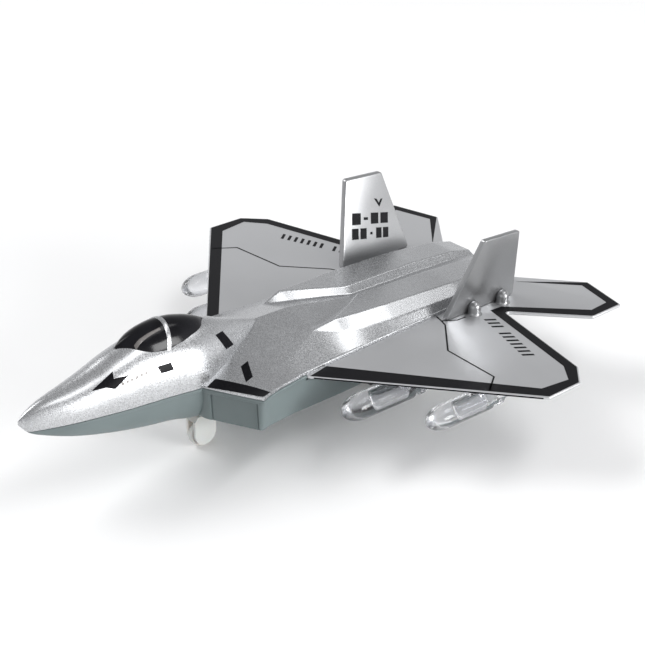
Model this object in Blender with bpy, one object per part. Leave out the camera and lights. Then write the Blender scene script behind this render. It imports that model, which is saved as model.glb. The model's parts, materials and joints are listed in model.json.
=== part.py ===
"""Pull-back toy jet: cast shell, one-piece wing casting, plastic belly, spring motor and wheels.

Metres, +Z up, nose towards -Y, +X is the jet's left side. The origin is on the ground under the
middle of the jet. Sizes are written in millimetres, and heights of the body are written above
the deck, which is the top of the wing plate.
"""
import math

import bmesh
import bpy
from mathutils import Vector

MM = 0.001

# Driving dimensions, in millimetres
DECK = 21.0            # top of the wing plate above the ground
PLATE = 1.5            # thickness of the wing plate
GAP = 0.3              # left between pieces that touch
WALL = 1.3             # wall of the two shells
DRAFT = 0.9            # how much the belly's walls draw in from the seam down
PLATE_FRONT = -10.8    # front edge of the wing plate at the body
SEAM_RISE = 0.025      # how much the seam rises per millimetre towards the nose
BODY_END = 66.0        # tail end of both shells
REAR_AXLE = (34.0, 5.0)       # y and height above the ground
NOSE_AXLE = (-28.2, 3.6)
CHEEK_R, CHEEK_Z = 3.15, 4.0
CHEEK_IN, CHEEK_OUT = 1.05, 1.8
CROWN_LOW = 7.6
AXLE_R = 0.9
MODULE = 0.4           # gear module of the spring motor
PINION_TEETH, COMPOUND_TEETH, SPRING_TEETH = 10, 24, 26
COMPOUND_AXIS = (28.0, 8.2)
SPRING_AXIS = (34.235, 11.8)
MOTOR_LOW = (-7.0, 21.4, 1.6)
MOTOR_HIGH = (7.0, 42.0, 19.1)

# Forebody: y, half width at the seam, top and keel above the deck
FOREBODY = [
    (-79.1, 0.3, 4.5, 3.4), (-77.2, 1.7, 5.9, 1.2), (-73.3, 3.1, 7.5, -0.6),
    (-66.5, 4.9, 9.1, -2.9), (-60.9, 5.9, 10.7, -4.3), (-53.7, 7.0, 13.2, -5.7),
    (-47.4, 7.6, 14.6, -6.7), (-41.1, 8.2, 14.8, -7.4), (-34.4, 9.0, 14.4, -8.7),
    (-27.0, 6.6, 13.4, -9.2), (-19.7, 4.0, 10.9, -9.3), (-11.2, 1.0, 8.0, -9.3),
]
# Edge of the centre body in plan, from the notch beside the forebody: y and half width
BODY_EDGE = [
    (-34.4, 9.0), (-27.1, 23.4), (-23.6, 21.8), (-13.0, 19.5), (4.0, 18.4), (13.0, 17.8), (33.7, 17.0),
    (50.0, 16.0), (60.0, 14.6), (BODY_END, 13.2),
]
# Belly height above the deck along y
BELLY = [(-34.4, -8.3), (-27.0, -8.5), (-9.0, -10.2), (4.0, -10.5), (50.0, -10.5), (66.0, -8.0)]
# Shoulders and engine humps: for each station, (x, y, z) from the spine out to the rim
SHOULDER = [
    [(0, -34.2, 1.0), (5, -34.2, 1.0), (9.0, -34.2, 1.0), (13.5, -32.0, 1.1), (18, -29.8, 1.25), (23.4, -27.1, 1.4)],
    [(0, -27, 3.0), (3, -27, 3.0), (6.2, -27, 3.1), (12, -26.4, 2.4), (17, -25.4, 1.8), (22.1, -24.3, 1.1)],
    [(0, -20, 5.0), (1.7, -20, 5.0), (3.5, -20, 5.2), (9, -20, 4.0), (14.5, -20, 2.6), (20.9, -20, 0.9)],
    [(0, -11.2, 7.9), (2.5, -11.2, 7.2), (5, -11.2, 6.4), (9.5, -11.2, 4.8), (14, -11.2, 3.1), (19.3, -11.2, 0.9)],
    [(0, -0.8, 7.7), (8.9, -0.8, 5.1), (9.3, -0.8, 5.0), (9.6, -0.8, 4.9), (10.0, -0.8, 4.75), (18.6, -0.8, 0.9)],
    [(0, 5.6, 6.6), (7.6, 5.6, 4.4), (10.4, 5.6, 6.4), (10.9, 5.6, 6.4), (13.4, 5.6, 4.0), (18.2, 5.6, 0.9)],
    [(0, 13.5, 5.1), (4.6, 13.5, 4.1), (6.6, 13.5, 6.0), (11.2, 13.5, 6.0), (14.8, 13.5, 3.6), (17.7, 13.5, 0.9)],
    [(0, 21.1, 3.9), (0.9, 21.1, 3.9), (2.4, 21.1, 5.7), (11.8, 21.1, 5.8), (15.4, 21.1, 3.2), (17.4, 21.1, 0.9)],
    [(0, 45, 3.0), (1.2, 45, 3.0), (3.2, 45, 4.9), (12.2, 45, 4.75), (15.3, 45, 2.6), (16.3, 45, 0.8)],
    [(0, 60, 2.3), (1.4, 60, 2.3), (3.0, 60, 3.8), (11.2, 60, 3.7), (13.6, 60, 2.0), (14.6, 60, 0.7)],
    [(0, 66, 1.6), (1.4, 66, 1.6), (3.0, 66, 2.4), (10.4, 66, 2.4), (12.4, 66, 1.4), (13.2, 66, 0.6)],
]
# Half outline of the wing plate, from the middle of its front edge round to the middle of its tail
WING = [
    (0, PLATE_FRONT), (19.8, PLATE_FRONT), (65.0, 25.3), (64.8, 36.1), (59.0, 41.7), (26.5, 49.8),
    (43.2, 64.8), (43.1, 75.5), (28.5, 79.1), (14.0, 67.3), (10.0, 64.5), (0, 64.5),
]
# Canopy glazing: y, half width, top above the deck
CANOPY = [
    (-52.1, 0.4, 13.9), (-50.0, 2.2, 15.1), (-47.4, 3.7, 16.2), (-44.0, 4.9, 17.0), (-40.5, 5.4, 17.3),
    (-37.0, 5.3, 17.0), (-33.0, 4.5, 16.1), (-29.5, 3.0, 14.8), (-27.0, 0.8, 13.5),
]
CANOPY_SILL = 11.2
ARCH_Y, ARCH_LEAN, ARCH_WIDTH, ARCH_THICK = -41.0, 0.25, 1.2, 0.5
FIN_X, FIN_THICK = 19.8, 1.6
FIN_ROOT_Y, FIN_TOP_Y = (34.4, 58.8), (41.1, 53.8)
FIN_TOP_X, FIN_TOP_Z = 26.1, (22.4, 21.5)
FIN_FEET = [(22.2, 43.0), (22.2, 53.2)]
FIN_FOOT_R, FIN_FOOT_H = 1.6, 3.5
CASE_SCREWS = [(12.5, -5.0), (9.5, 56.0)]
# Missiles: x, y of the tip, radius, length
MISSILES = {"inner": (31.0, -9.3, 3.3, 34.0), "outer": (47.6, 2.4, 3.05, 31.5)}
MISSILE_Z = -6.1


def clear_scene():
    for obj in list(bpy.data.objects):
        bpy.data.objects.remove(obj, do_unlink=True)


def material(name, colour, roughness, metallic=0.0, alpha=1.0):
    made = bpy.data.materials.new(name)
    made.use_nodes = True
    shader = made.node_tree.nodes["Principled BSDF"]
    shader.inputs["Base Color"].default_value = (*colour, 1.0)
    shader.inputs["Roughness"].default_value = roughness
    shader.inputs["Metallic"].default_value = metallic
    shader.inputs["Alpha"].default_value = alpha
    return made


def at(table, y, column):
    """Reads a column of a table of stations at y, in straight lines between its rows."""
    if y <= table[0][0]:
        return table[0][column]
    for low, high in zip(table, table[1:]):
        if y <= high[0]:
            share = (y - low[0]) / (high[0] - low[0])
            return low[column] + share * (high[column] - low[column])
    return table[-1][column]


def seam(y):
    return SEAM_RISE * max(0.0, PLATE_FRONT - y)


def add(name, points, faces, look=None, origin=(0, 0, 0)):
    """One object of points in millimetres, with its origin at origin. With no look it is a cutter."""
    mesh = bpy.data.meshes.new(name)
    origin = Vector(origin)
    mesh.from_pydata([(Vector(p) - origin) * MM for p in points], [], faces)
    edit = bmesh.new()
    edit.from_mesh(mesh)
    bmesh.ops.remove_doubles(edit, verts=edit.verts, dist=1e-6)
    bmesh.ops.recalc_face_normals(edit, faces=edit.faces)
    edit.to_mesh(mesh)
    edit.free()
    obj = bpy.data.objects.new(name, mesh)
    obj.location = origin * MM
    bpy.context.scene.collection.objects.link(obj)
    if look is None:
        obj.hide_render = True
        obj.display_type = "WIRE"
    else:
        mesh.materials.append(look)
        mesh.shade_smooth()
        mesh.set_sharp_from_angle(angle=math.radians(30))
    return obj


def loft(name, rings, look=None, origin=(0, 0, 0)):
    """A closed solid through rings of points, capped at both ends."""
    count = len(rings[0])
    points = [point for ring in rings for point in ring]
    faces = [list(range(count)), [len(points) - count + i for i in range(count)]]
    for row in range(len(rings) - 1):
        for i in range(count):
            j = (i + 1) % count
            low, high = row * count, (row + 1) * count
            faces.append([low + i, low + j, high + j, high + i])
    return add(name, points, faces, look, origin)


def box(name, low, high, look=None):
    ring = [(low[0], low[1]), (high[0], low[1]), (high[0], high[1]), (low[0], high[1])]
    return loft(name, [[(x, y, z) for x, y in ring] for z in (low[2], high[2])], look)


def prism(name, outline, low, high, look=None):
    """A flat outline in x and y between two heights."""
    return loft(name, [[(x, y, z) for x, y in outline] for z in (low, high)], look)


def turned(name, profile, centre, axis="X", sides=32, look=None, turn=0.0):
    """A solid of revolution: profile holds (place along the axis, radius), axis through centre."""
    rings = []
    for step in range(sides):
        angle = 2 * math.pi * (step + 0.5) / sides + turn
        ring = []
        for place, radius in profile:
            side, up = radius * math.cos(angle), radius * math.sin(angle)
            offset = {"X": (place, side, up), "Y": (side, place, up), "Z": (side, up, place)}[axis]
            ring.append(tuple(c + o for c, o in zip(centre, offset)))
        rings.append(ring)
    count = len(profile)
    points = [point for ring in rings for point in ring]
    faces = []
    hollow = profile[0] == profile[-1]
    for step in range(sides):
        low, high = step * count, (step + 1) % sides * count
        for i in range(count - 1):
            faces.append([low + i, low + i + 1, high + i + 1, high + i])
    if not hollow:
        for end in (0, count - 1):
            if profile[end][1] > 0:
                faces.append([step * count + end for step in range(sides)])
    return add(name, points, faces, look, centre)


def rod(name, centre, radius, low, high, axis="X", sides=24, look=None):
    return turned(name, [(low, radius), (high, radius)], centre, axis, sides, look)


def combine(obj, tool, operation):
    step = obj.modifiers.new(operation.title() + " " + tool.name, "BOOLEAN")
    step.operation = operation
    step.solver = "EXACT"
    step.object = tool
    return obj


def cut(obj, tool):
    return combine(obj, tool, "DIFFERENCE")


def join(obj, tool):
    return combine(obj, tool, "UNION")


def mirrored(points):
    """A closed outline from its half at x >= 0, whose first and last points may lie on x = 0."""
    other = [(-x, y) for x, y in reversed(points) if x > 0]
    return list(points) + other


# ---------------------------------------------------------------- upper shell

def forebody_rings(shrink, front=-100.0, rear=0.0, steps=14):
    """Rounded arches over the seam, a little fuller than an ellipse at their shoulders."""
    rings = []
    for y, half, top, _ in FOREBODY:
        if not front <= y <= rear:
            continue
        half, top, base = half - shrink, top - shrink, seam(y)
        ring = [(-half, y, DECK + base - 3.0), (half, y, DECK + base - 3.0)]
        for step in range(steps + 1):
            angle = math.pi * step / steps
            rise = math.sin(angle) ** 0.83 if 0 < step < steps else 0.0
            ring.append((half * math.cos(angle), y, DECK + base + (top - base) * rise))
        rings.append(ring)
    return rings


def shoulder_solid(name, shrink, rows, floor):
    """The shoulders and humps as a solid from their surface, lowered by shrink, down to floor."""
    grid = []
    for row in rows:
        inwards = 1.0 - shrink / row[-1][0]
        half = [(x * inwards, y, DECK + z - 1.15 * shrink) for x, y, z in row]
        grid.append([(-x, y, z) for x, y, z in reversed(half[1:])] + half)
    across = len(grid[0])
    top = [point for line in grid for point in line]
    points = top + [(x, y, DECK + floor) for x, y, _ in top]
    under = len(top)
    faces = []
    for row in range(len(grid) - 1):
        for column in range(across - 1):
            corner = row * across + column
            quad = [corner, corner + 1, corner + across + 1, corner + across]
            faces += [quad, [under + index for index in quad]]
        for edge in (row * across, row * across + across - 1):
            faces.append([edge, edge + across, under + edge + across, under + edge])
    for start in (0, under - across):
        for corner in range(start, start + across - 1):
            faces.append([corner, corner + 1, under + corner + 1, under + corner])
    return add(name, points, faces)


def seam_slab(name, lift, reach, step=0.0):
    """A slab from the seam, lifted by lift, to reach: step is added where the wing plate lies."""
    places = [(-95.0, 0.0), (PLATE_FRONT, 0.0), (95.0, step)]
    if step:
        places.insert(2, (PLATE_FRONT, step))
    rings = []
    for y, extra in places:
        level = DECK + seam(y) + lift + extra
        rings.append([(-40, y, level), (40, y, level), (40, y, DECK + reach), (-40, y, DECK + reach)])
    return loft(name, rings)


def canopy_rings(grow, sill, steps=12):
    rings = []
    last = len(CANOPY) - 1
    for index, (y, half, top) in enumerate(CANOPY):
        y += {0: -grow, last: grow}.get(index, 0.0)
        ring = []
        for step in range(steps + 1):
            angle = math.pi * step / steps
            x = (half + grow) * math.cos(angle)
            ring.append((x, y, DECK + sill + (top + grow - sill) * math.sin(angle)))
        rings.append(ring)
    return rings


def canopy_arch(look, steps=16):
    """A flat band over the glazing, leaning aft, that stands on the shell on both sides."""
    half = at(CANOPY, ARCH_Y, 1)
    top = at(CANOPY, ARCH_Y, 2)
    rings = []
    for step in range(steps + 1):
        angle = math.pi * step / steps
        ring = []
        for reach in (0.25, 0.25 + ARCH_THICK):
            x = (half + reach) * math.cos(angle)
            z = CANOPY_SILL - 1.0 + (top + reach - CANOPY_SILL + 1.0) * math.sin(angle)
            lean = ARCH_LEAN * (z - CANOPY_SILL)
            sides = (-ARCH_WIDTH / 2, ARCH_WIDTH / 2)
            ring.append([(x, ARCH_Y + lean + side, DECK + z) for side in sides])
        rings.append([ring[0][0], ring[0][1], ring[1][1], ring[1][0]])
    return loft("arch_tool", rings, look)


def upper_shell(look):
    shell = loft("upper_fuselage_shell", forebody_rings(0.0), look)
    join(shell, shoulder_solid("shoulder_tool", 0.0, SHOULDER, -3.0))
    cut(shell, loft("nose_cavity", forebody_rings(WALL + 0.4, -67.0, -19.0)))
    cut(shell, shoulder_solid("shoulder_cavity", WALL, SHOULDER[2:10], -4.0))
    cut(shell, seam_slab("upper_seam_tool", GAP / 2, -20.0, GAP / 2))
    cut(shell, loft("canopy_opening", canopy_rings(GAP, CANOPY_SILL - 2.0)))
    arch = canopy_arch(None)
    join(shell, arch)
    for x, y in CASE_SCREWS:
        for side, word in ((1, "left"), (-1, "right")):
            centre = (side * x, y, DECK)
            join(shell, rod(f"upper_boss_{word}_{int(y)}", centre, 2.0, GAP, 3.0, "Z"))
            cut(shell, rod(f"upper_pilot_{word}_{int(y)}", centre, 0.95, -1.0, 2.3, "Z"))
    return shell


# ---------------------------------------------------------------- lower shell

def keel_rings(shrink, front=-100.0, rear=0.0):
    """The lower forebody: flat sides that draw in towards a narrow flat keel."""
    rings = []
    for y, half, _, keel in FOREBODY:
        if not front <= y <= rear:
            continue
        half = (max(half, 3.0) if y > BODY_EDGE[0][0] else half) - shrink
        top, keel = seam(y), keel + shrink
        side = [(half, top + 2.0), (half, top), (half * 0.95, top - 0.4 * (top - keel)),
                (half * 0.76, keel + 0.12 * (top - keel)), (half * 0.56, keel)]
        ring = [(x, y, DECK + z) for x, z in side]
        rings.append(ring + [(-x, y, z) for x, y, z in reversed(ring)])
    return rings


def inset_edge(inset):
    """The edge of the centre body moved inwards, as (y, half width)."""
    lines = []
    for (y0, x0), (y1, x1) in zip(BODY_EDGE, BODY_EDGE[1:]):
        length = math.hypot(y1 - y0, x1 - x0)
        along = ((y1 - y0) / length, (x1 - x0) / length)
        lines.append(((y0 + along[1] * inset, x0 - along[0] * inset), along))
    moved = [lines[0][0]]
    for (start, along), (point, way) in zip(lines, lines[1:]):
        across = along[0] * way[1] - along[1] * way[0]
        gap = (point[0] - start[0], point[1] - start[1])
        reach = (gap[0] * way[1] - gap[1] * way[0]) / across
        moved.append((start[0] + along[0] * reach, start[1] + along[1] * reach))
    return moved + [(BODY_END - inset, BODY_EDGE[-1][1] - inset)]


def belly_block(name, inset, floor, look=None):
    """The intake block and belly in one, with walls drawn in by DRAFT at the belly."""
    rings = []
    for (y, high), (low_y, low) in zip(inset_edge(inset), inset_edge(inset + DRAFT)):
        low_z, high_z = DECK + at(BELLY, low_y, 1) + floor, DECK + 2.0
        rings.append([(-high, y, high_z), (high, y, high_z), (low, low_y, low_z), (-low, low_y, low_z)])
    return loft(name, rings, look)


def lower_shell(look):
    shell = belly_block("lower_fuselage_shell", 0.0, 0.0, look)
    join(shell, loft("keel_tool", keel_rings(0.0)))
    cut(shell, loft("keel_cavity", keel_rings(WALL, -67.0, -19.0)))
    cut(shell, belly_block("belly_cavity", WALL, WALL))
    cut(shell, seam_slab("lower_seam_tool", -GAP / 2, 20.0))
    low = (-40, PLATE_FRONT - GAP, DECK - PLATE - GAP)
    cut(shell, box("plate_slot", low, (40, 80, DECK + 5)))
    for x, y in CASE_SCREWS:
        floor = at(BELLY, y, 1)
        for side, word in ((1, "left"), (-1, "right")):
            centre = (side * x, y, DECK)
            post = rod(f"post_{word}_{int(y)}", centre, 2.8, floor + 0.5, -PLATE - GAP, "Z")
            join(shell, post)
            cut(shell, rod(f"post_sink_{word}_{int(y)}", centre, 2.0, floor - 1, -4.6, "Z"))
            cut(shell, rod(f"post_hole_{word}_{int(y)}", centre, 1.0, -5.0, 0.0, "Z"))
    low = (MOTOR_LOW[0] - GAP, MOTOR_LOW[1] - GAP, 5.0)
    high = (MOTOR_HIGH[0] + GAP, MOTOR_HIGH[1] + GAP, 13.0)
    cut(shell, box("motor_opening", low, high))
    for x, y in motor_ears():
        cut(shell, rod(f"motor_pilot_{int(y)}", (x, y, DECK), 0.8, -12.0, -8.0, "Z"))
    y = NOSE_AXLE[0]
    cut(shell, box("nose_leg_slot", (-0.95, y - 2.55, 8.0), (0.95, y + 2.55, 14.5)))
    return shell


# ---------------------------------------------------------------- wing plate and fins

def screw_places():
    """Every screw that passes through the wing plate, as (name, x, y)."""
    places = []
    for side, word in ((1, "left"), (-1, "right")):
        for (x, y), end in zip(CASE_SCREWS, ("front", "rear")):
            places.append((f"case_screw_{word}_{end}", side * x, y))
        for (x, y), end in zip(FIN_FEET, ("front", "rear")):
            places.append((f"fin_screw_{word}_{end}", side * x, y))
    return places


def wing_plate(look):
    plate = prism("wing_plate", mirrored(WING), DECK - PLATE, DECK, look)
    soften = plate.modifiers.new("Edge", "BEVEL")
    soften.width = 0.35 * MM
    soften.segments = 1
    soften.limit_method = "ANGLE"
    soften.angle_limit = math.radians(60)
    for name, x, y in screw_places():
        cut(plate, rod("plate_hole_" + name, (x, y, DECK), 1.0, -3.0, 1.0, "Z"))
    return plate


def fin(side, word, look):
    """A flat tapered blade, canted outwards, with two domed feet on its outer face."""
    lean = (FIN_TOP_X - FIN_X) / FIN_TOP_Z[0]
    rings = []
    for thick in (-FIN_THICK / 2, FIN_THICK / 2):
        corners = [
            (FIN_X, FIN_ROOT_Y[0], GAP), (FIN_X, FIN_ROOT_Y[1], GAP),
            (FIN_X + lean * FIN_TOP_Z[1], FIN_TOP_Y[1], FIN_TOP_Z[1]),
            (FIN_TOP_X, FIN_TOP_Y[0], FIN_TOP_Z[0]),
        ]
        rings.append([(side * (x + thick), y, DECK + z) for x, y, z in corners])
    blade = loft(f"{word}_fin", rings, look)
    soften = blade.modifiers.new("Edge", "BEVEL")
    soften.width = 0.3 * MM
    soften.segments = 1
    radius, height = FIN_FOOT_R, FIN_FOOT_H
    dome = [(GAP, radius)]
    for step in range(5):
        angle = math.pi / 2 * step / 5
        dome.append((height - radius + radius * math.sin(angle), radius * math.cos(angle)))
    dome.append((height, 0.0))
    for (x, y), end in zip(FIN_FEET, ("front", "rear")):
        centre = (side * x, y, DECK)
        join(blade, turned(f"{word}_foot_{end}", dome, centre, "Z", 20))
        cut(blade, rod(f"{word}_foot_pilot_{end}", centre, 0.95, -1.0, 2.3, "Z"))
    return blade


# ---------------------------------------------------------------- stores, nozzles, screws

def missile(side, word, place, look):
    """A clear store: blunt nose, long body, a waist with a collar, a short tail and its pylon."""
    x, tip, radius, length = MISSILES[place]
    profile = [(tip, 0.0)]
    nose = 5.5
    for step in range(1, 6):
        share = step / 5
        profile.append((tip + nose * (1 - math.cos(share * math.pi / 2)), radius * math.sin(share * math.pi / 2)))
    waist = tip + 0.62 * length
    profile += [
        (waist, radius), (waist + 0.8, radius * 0.8), (waist + 2.2, radius * 0.8), (waist + 2.6, radius * 0.95),
        (waist + 3.8, radius * 0.95), (waist + 4.4, radius * 0.7), (tip + length, radius * 0.45), (tip + length, 0.0),
    ]
    centre = (side * x, 0.0, DECK + MISSILE_Z)
    body = turned(f"{word}_{place}_missile", profile, centre, "Y", 20, look)
    start, end = tip + 0.42 * length, tip + 0.9 * length
    rings = []
    for height, half, trim in ((MISSILE_Z, 0.9, 1.0), (-PLATE - GAP, 1.2, 0.0)):
        corners = [(-half, start + trim), (half, start + trim), (half, end - trim), (-half, end - trim)]
        rings.append([(side * x + across, y, DECK + height) for across, y in corners])
    join(body, loft(f"{word}_{place}_pylon", rings))
    return body


def nozzle(side, word, look):
    """A square two-dimensional nozzle with a shallow recess, behind the belly's end wall."""
    rings = []
    for y, grow in ((BODY_END + GAP, 0.0), (BODY_END + 2.0, 0.2), (BODY_END + 4.6, -0.5)):
        low, high = (2.4 - grow, -7.4 - grow), (11.0 + grow, -2.4 + grow)
        corners = [(low[0], low[1]), (high[0], low[1]), (high[0], high[1]), (low[0], high[1])]
        rings.append([(side * x, y, DECK + z) for x, z in corners])
    body = loft(f"exhaust_nozzle_{word}", rings, look)
    low = (min(side * 4.0, side * 9.4), BODY_END + 2.4, DECK - 6.0)
    high = (max(side * 4.0, side * 9.4), BODY_END + 6.0, DECK - 3.6)
    cut(body, box(f"nozzle_recess_{word}", low, high))
    return body


def screw(name, x, y, head_top, tip, head_r, shank_r, look, head_below=True, sides=16):
    """A pan-head screw standing on its head, with a cross recess in it."""
    depth, way = 1.2, -1 if head_below else 1
    profile = [(tip, 0.0), (tip, shank_r), (head_top, shank_r), (head_top, head_r),
               (head_top + way * depth * 0.6, head_r), (head_top + way * depth, head_r * 0.7),
               (head_top + way * depth, 0.0)]
    body = turned(name, profile, (x, y, DECK), "Z", sides, look)
    face = DECK + head_top + way * depth
    for half in ((0.22, head_r * 0.55), (head_r * 0.55, 0.22)):
        low = (x - half[0], y - half[1], face - 0.45)
        high = (x + half[0], y + half[1], face + 0.45)
        cut(body, box(f"recess_{name}_{half[0]:.2f}", low, high))
    return body


# ---------------------------------------------------------------- wheels and motor

def nose_gear(looks):
    """A fork with two round-ended cheeks, on a stem that stands on the keel, and the wheel between them."""
    y, z = NOSE_AXLE
    stem = [(y - 2.2, 8.9), (y + 2.2, 8.9), (y + 2.2, 13.6), (y + 3.0, 13.6), (y + 3.0, 14.8),
            (y - 3.0, 14.8), (y - 3.0, 13.6), (y - 2.2, 13.6)]
    leg = loft("nose_leg", [[(x, v, w) for v, w in stem] for x in (-0.6, 0.6)], looks["white"])
    crown = [(y - CHEEK_R, CROWN_LOW), (y + CHEEK_R, CROWN_LOW), (y + 2.2, 9.0), (y - 2.2, 9.0)]
    join(leg, loft("fork_crown", [[(x, v, w) for v, w in crown] for x in (-CHEEK_OUT, CHEEK_OUT)]))
    cheek = [(y + CHEEK_R, CROWN_LOW + 0.2), (y - CHEEK_R, CROWN_LOW + 0.2)]
    for step in range(17):
        angle = math.pi * (1 + step / 16)
        cheek.append((y + CHEEK_R * math.cos(angle), CHEEK_Z + CHEEK_R * math.sin(angle)))
    for side in (1, -1):
        sheet = [[(side * x, v, w) for v, w in cheek] for x in (CHEEK_IN, CHEEK_OUT)]
        join(leg, loft(f"fork_cheek_{side + 1}", sheet))
    cut(leg, rod("nose_leg_eyes", (0, y, z), 0.65, -CHEEK_OUT + 0.25, CHEEK_OUT - 0.25))
    rod("nose_axle_pin", (0, y, z), 0.5, -1.4, 1.4, look=looks["steel"])
    disc = [(-0.8, 0.65), (-0.8, 3.35), (-0.55, z), (0.55, z), (0.8, 3.35), (0.8, 0.65), (-0.8, 0.65)]
    turned("nose_wheel", disc, (0, y, z), "X", 40, looks["white"])


def rear_wheels(looks):
    centre = (0, *REAR_AXLE)
    rod("rear_axle", centre, AXLE_R, -14.0, 14.0, look=looks["steel"])
    for side, word in ((1, "left"), (-1, "right")):
        hub = [(10.2, 1.05), (10.2, 3.8), (13.6, 3.8), (13.6, 2.9), (13.1, 2.6), (13.1, 1.8), (13.8, 1.6),
               (13.8, 1.05), (10.2, 1.05)]
        turned(f"rear_wheel_{word}", [(side * x, r) for x, r in hub], centre, "X", 32, looks["white"])
        tyre = [(10.3, 4.0), (10.3, 4.7), (10.7, 5.0), (13.1, 5.0), (13.5, 4.7), (13.5, 4.0), (10.3, 4.0)]
        turned(f"rear_tyre_{word}", [(side * x, r) for x, r in tyre], centre, "X", 40, looks["rubber"])


def gear_outline(teeth, phase):
    """Tooth corners round the pitch circle, as (y, z): one tooth points at phase."""
    pitch = MODULE * teeth / 2
    points = []
    for tooth in range(teeth):
        middle = phase + 2 * math.pi * tooth / teeth
        step = 2 * math.pi / teeth
        for share, reach in ((-0.27, -1.2), (-0.09, 0.85), (0.09, 0.85), (0.27, -1.2)):
            radius = pitch + reach * MODULE
            points.append((radius * math.cos(middle + share * step), radius * math.sin(middle + share * step)))
    return points


def gear(name, centre, teeth, phase, low, high, look=None):
    outline = gear_outline(teeth, phase)
    rings = [[(x, centre[0] + y, centre[1] + z) for y, z in outline] for x in (low, high)]
    return loft(name, rings, look, (0, *centre))


def heading(start, end):
    return math.atan2(end[1] - start[1], end[0] - start[0])


def motor_gears(looks):
    to_compound = heading(REAR_AXLE, COMPOUND_AXIS)
    to_spring = heading(COMPOUND_AXIS, SPRING_AXIS)
    pinion = gear("axle_pinion", REAR_AXLE, PINION_TEETH, to_compound, 3.0, 4.8, looks["white"])
    cut(pinion, rod("pinion_bore", (0, *REAR_AXLE), AXLE_R + 0.15, 1, 7))
    phase = to_compound + math.pi + math.pi / COMPOUND_TEETH
    compound = gear("compound_gear", COMPOUND_AXIS, COMPOUND_TEETH, phase, 3.3, 4.5, looks["white"])
    join(compound, gear("compound_pinion", COMPOUND_AXIS, PINION_TEETH, to_spring, 0.6, 3.4))
    cut(compound, rod("compound_bore", (0, *COMPOUND_AXIS), 0.75, -1, 6))
    rod("compound_gear_pin", (0, *COMPOUND_AXIS), 0.55, -6.9, 6.9, look=looks["steel"])
    phase = to_spring + math.pi + math.pi / SPRING_TEETH
    wheel = gear("spring_gear", SPRING_AXIS, SPRING_TEETH, phase, 0.9, 2.1, looks["white"])
    join(wheel, rod("spring_arbor", (0, *SPRING_AXIS), 0.9, -6.9, 6.9, sides=24))


def mainspring(look, turns=5, steps=18):
    """A flat strip wound round the arbor, as one solid spiral."""
    inner, outer, thick = 1.3, 5.2, 0.28
    rings = []
    for step in range(turns * steps + 1):
        angle = 2 * math.pi * step / steps
        radius = inner + (outer - inner) * step / (turns * steps)
        ring = []
        for x, r in ((-5.2, radius), (-1.0, radius), (-1.0, radius + thick), (-5.2, radius + thick)):
            ring.append((x, SPRING_AXIS[0] + r * math.cos(angle), SPRING_AXIS[1] + r * math.sin(angle)))
        rings.append(ring)
    return loft("mainspring", rings, look)


def motor_ears():
    return [(0.0, MOTOR_LOW[1] - 3.0), (0.0, MOTOR_HIGH[1] + 3.0)]


def motor(looks):
    """The spring motor: an open case with ears, a lid, and the gear train inside."""
    lid = 0.9
    case = box("motor_case", MOTOR_LOW, (MOTOR_HIGH[0], MOTOR_HIGH[1], MOTOR_HIGH[2] - lid - GAP), looks["black"])
    inner_low = tuple(value + 1.0 for value in MOTOR_LOW)
    cut(case, box("motor_hollow", inner_low, (MOTOR_HIGH[0] - 1.0, MOTOR_HIGH[1] - 1.0, 30.0)))
    floor = DECK - 10.5 + WALL + GAP
    for index, (x, y) in enumerate(motor_ears()):
        near = MOTOR_LOW[1] + 0.5 if index == 0 else MOTOR_HIGH[1] - 0.5
        low = (-2.4, min(y - 2.2 * (1 - 2 * index), near), floor)
        high = (2.4, max(y - 2.2 * (1 - 2 * index), near), floor + 1.2)
        join(case, box(f"motor_ear_{index}", low, high))
        cut(case, rod(f"ear_hole_{index}", (x, y, floor), 0.9, -1, 3, "Z"))
    for name, centre, radius in (("axle", REAR_AXLE, AXLE_R + 0.15), ("pin", COMPOUND_AXIS, 0.7),
                                 ("arbor", SPRING_AXIS, 1.05)):
        cut(case, rod(f"case_hole_{name}", (0, *centre), radius, -9, 9))
    top = MOTOR_HIGH[2]
    cover = box("motor_lid", (MOTOR_LOW[0], MOTOR_LOW[1], top - lid), (MOTOR_HIGH[0], MOTOR_HIGH[1], top), looks["black"])
    inset = 1.0 + GAP
    low = (MOTOR_LOW[0] + inset, MOTOR_LOW[1] + inset, top - lid - 0.5)
    join(cover, box("lid_lip", low, (MOTOR_HIGH[0] - inset, MOTOR_HIGH[1] - inset, top - lid + 0.3)))
    for index, (x, y) in enumerate(motor_ears()):
        head = floor + 1.2 + GAP - DECK
        screw(f"motor_screw_{('front', 'rear')[index]}", x, y, head, head - 3.0, 1.5, 0.6, looks["steel"], False)
    motor_gears(looks)
    mainspring(looks["steel"])


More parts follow.
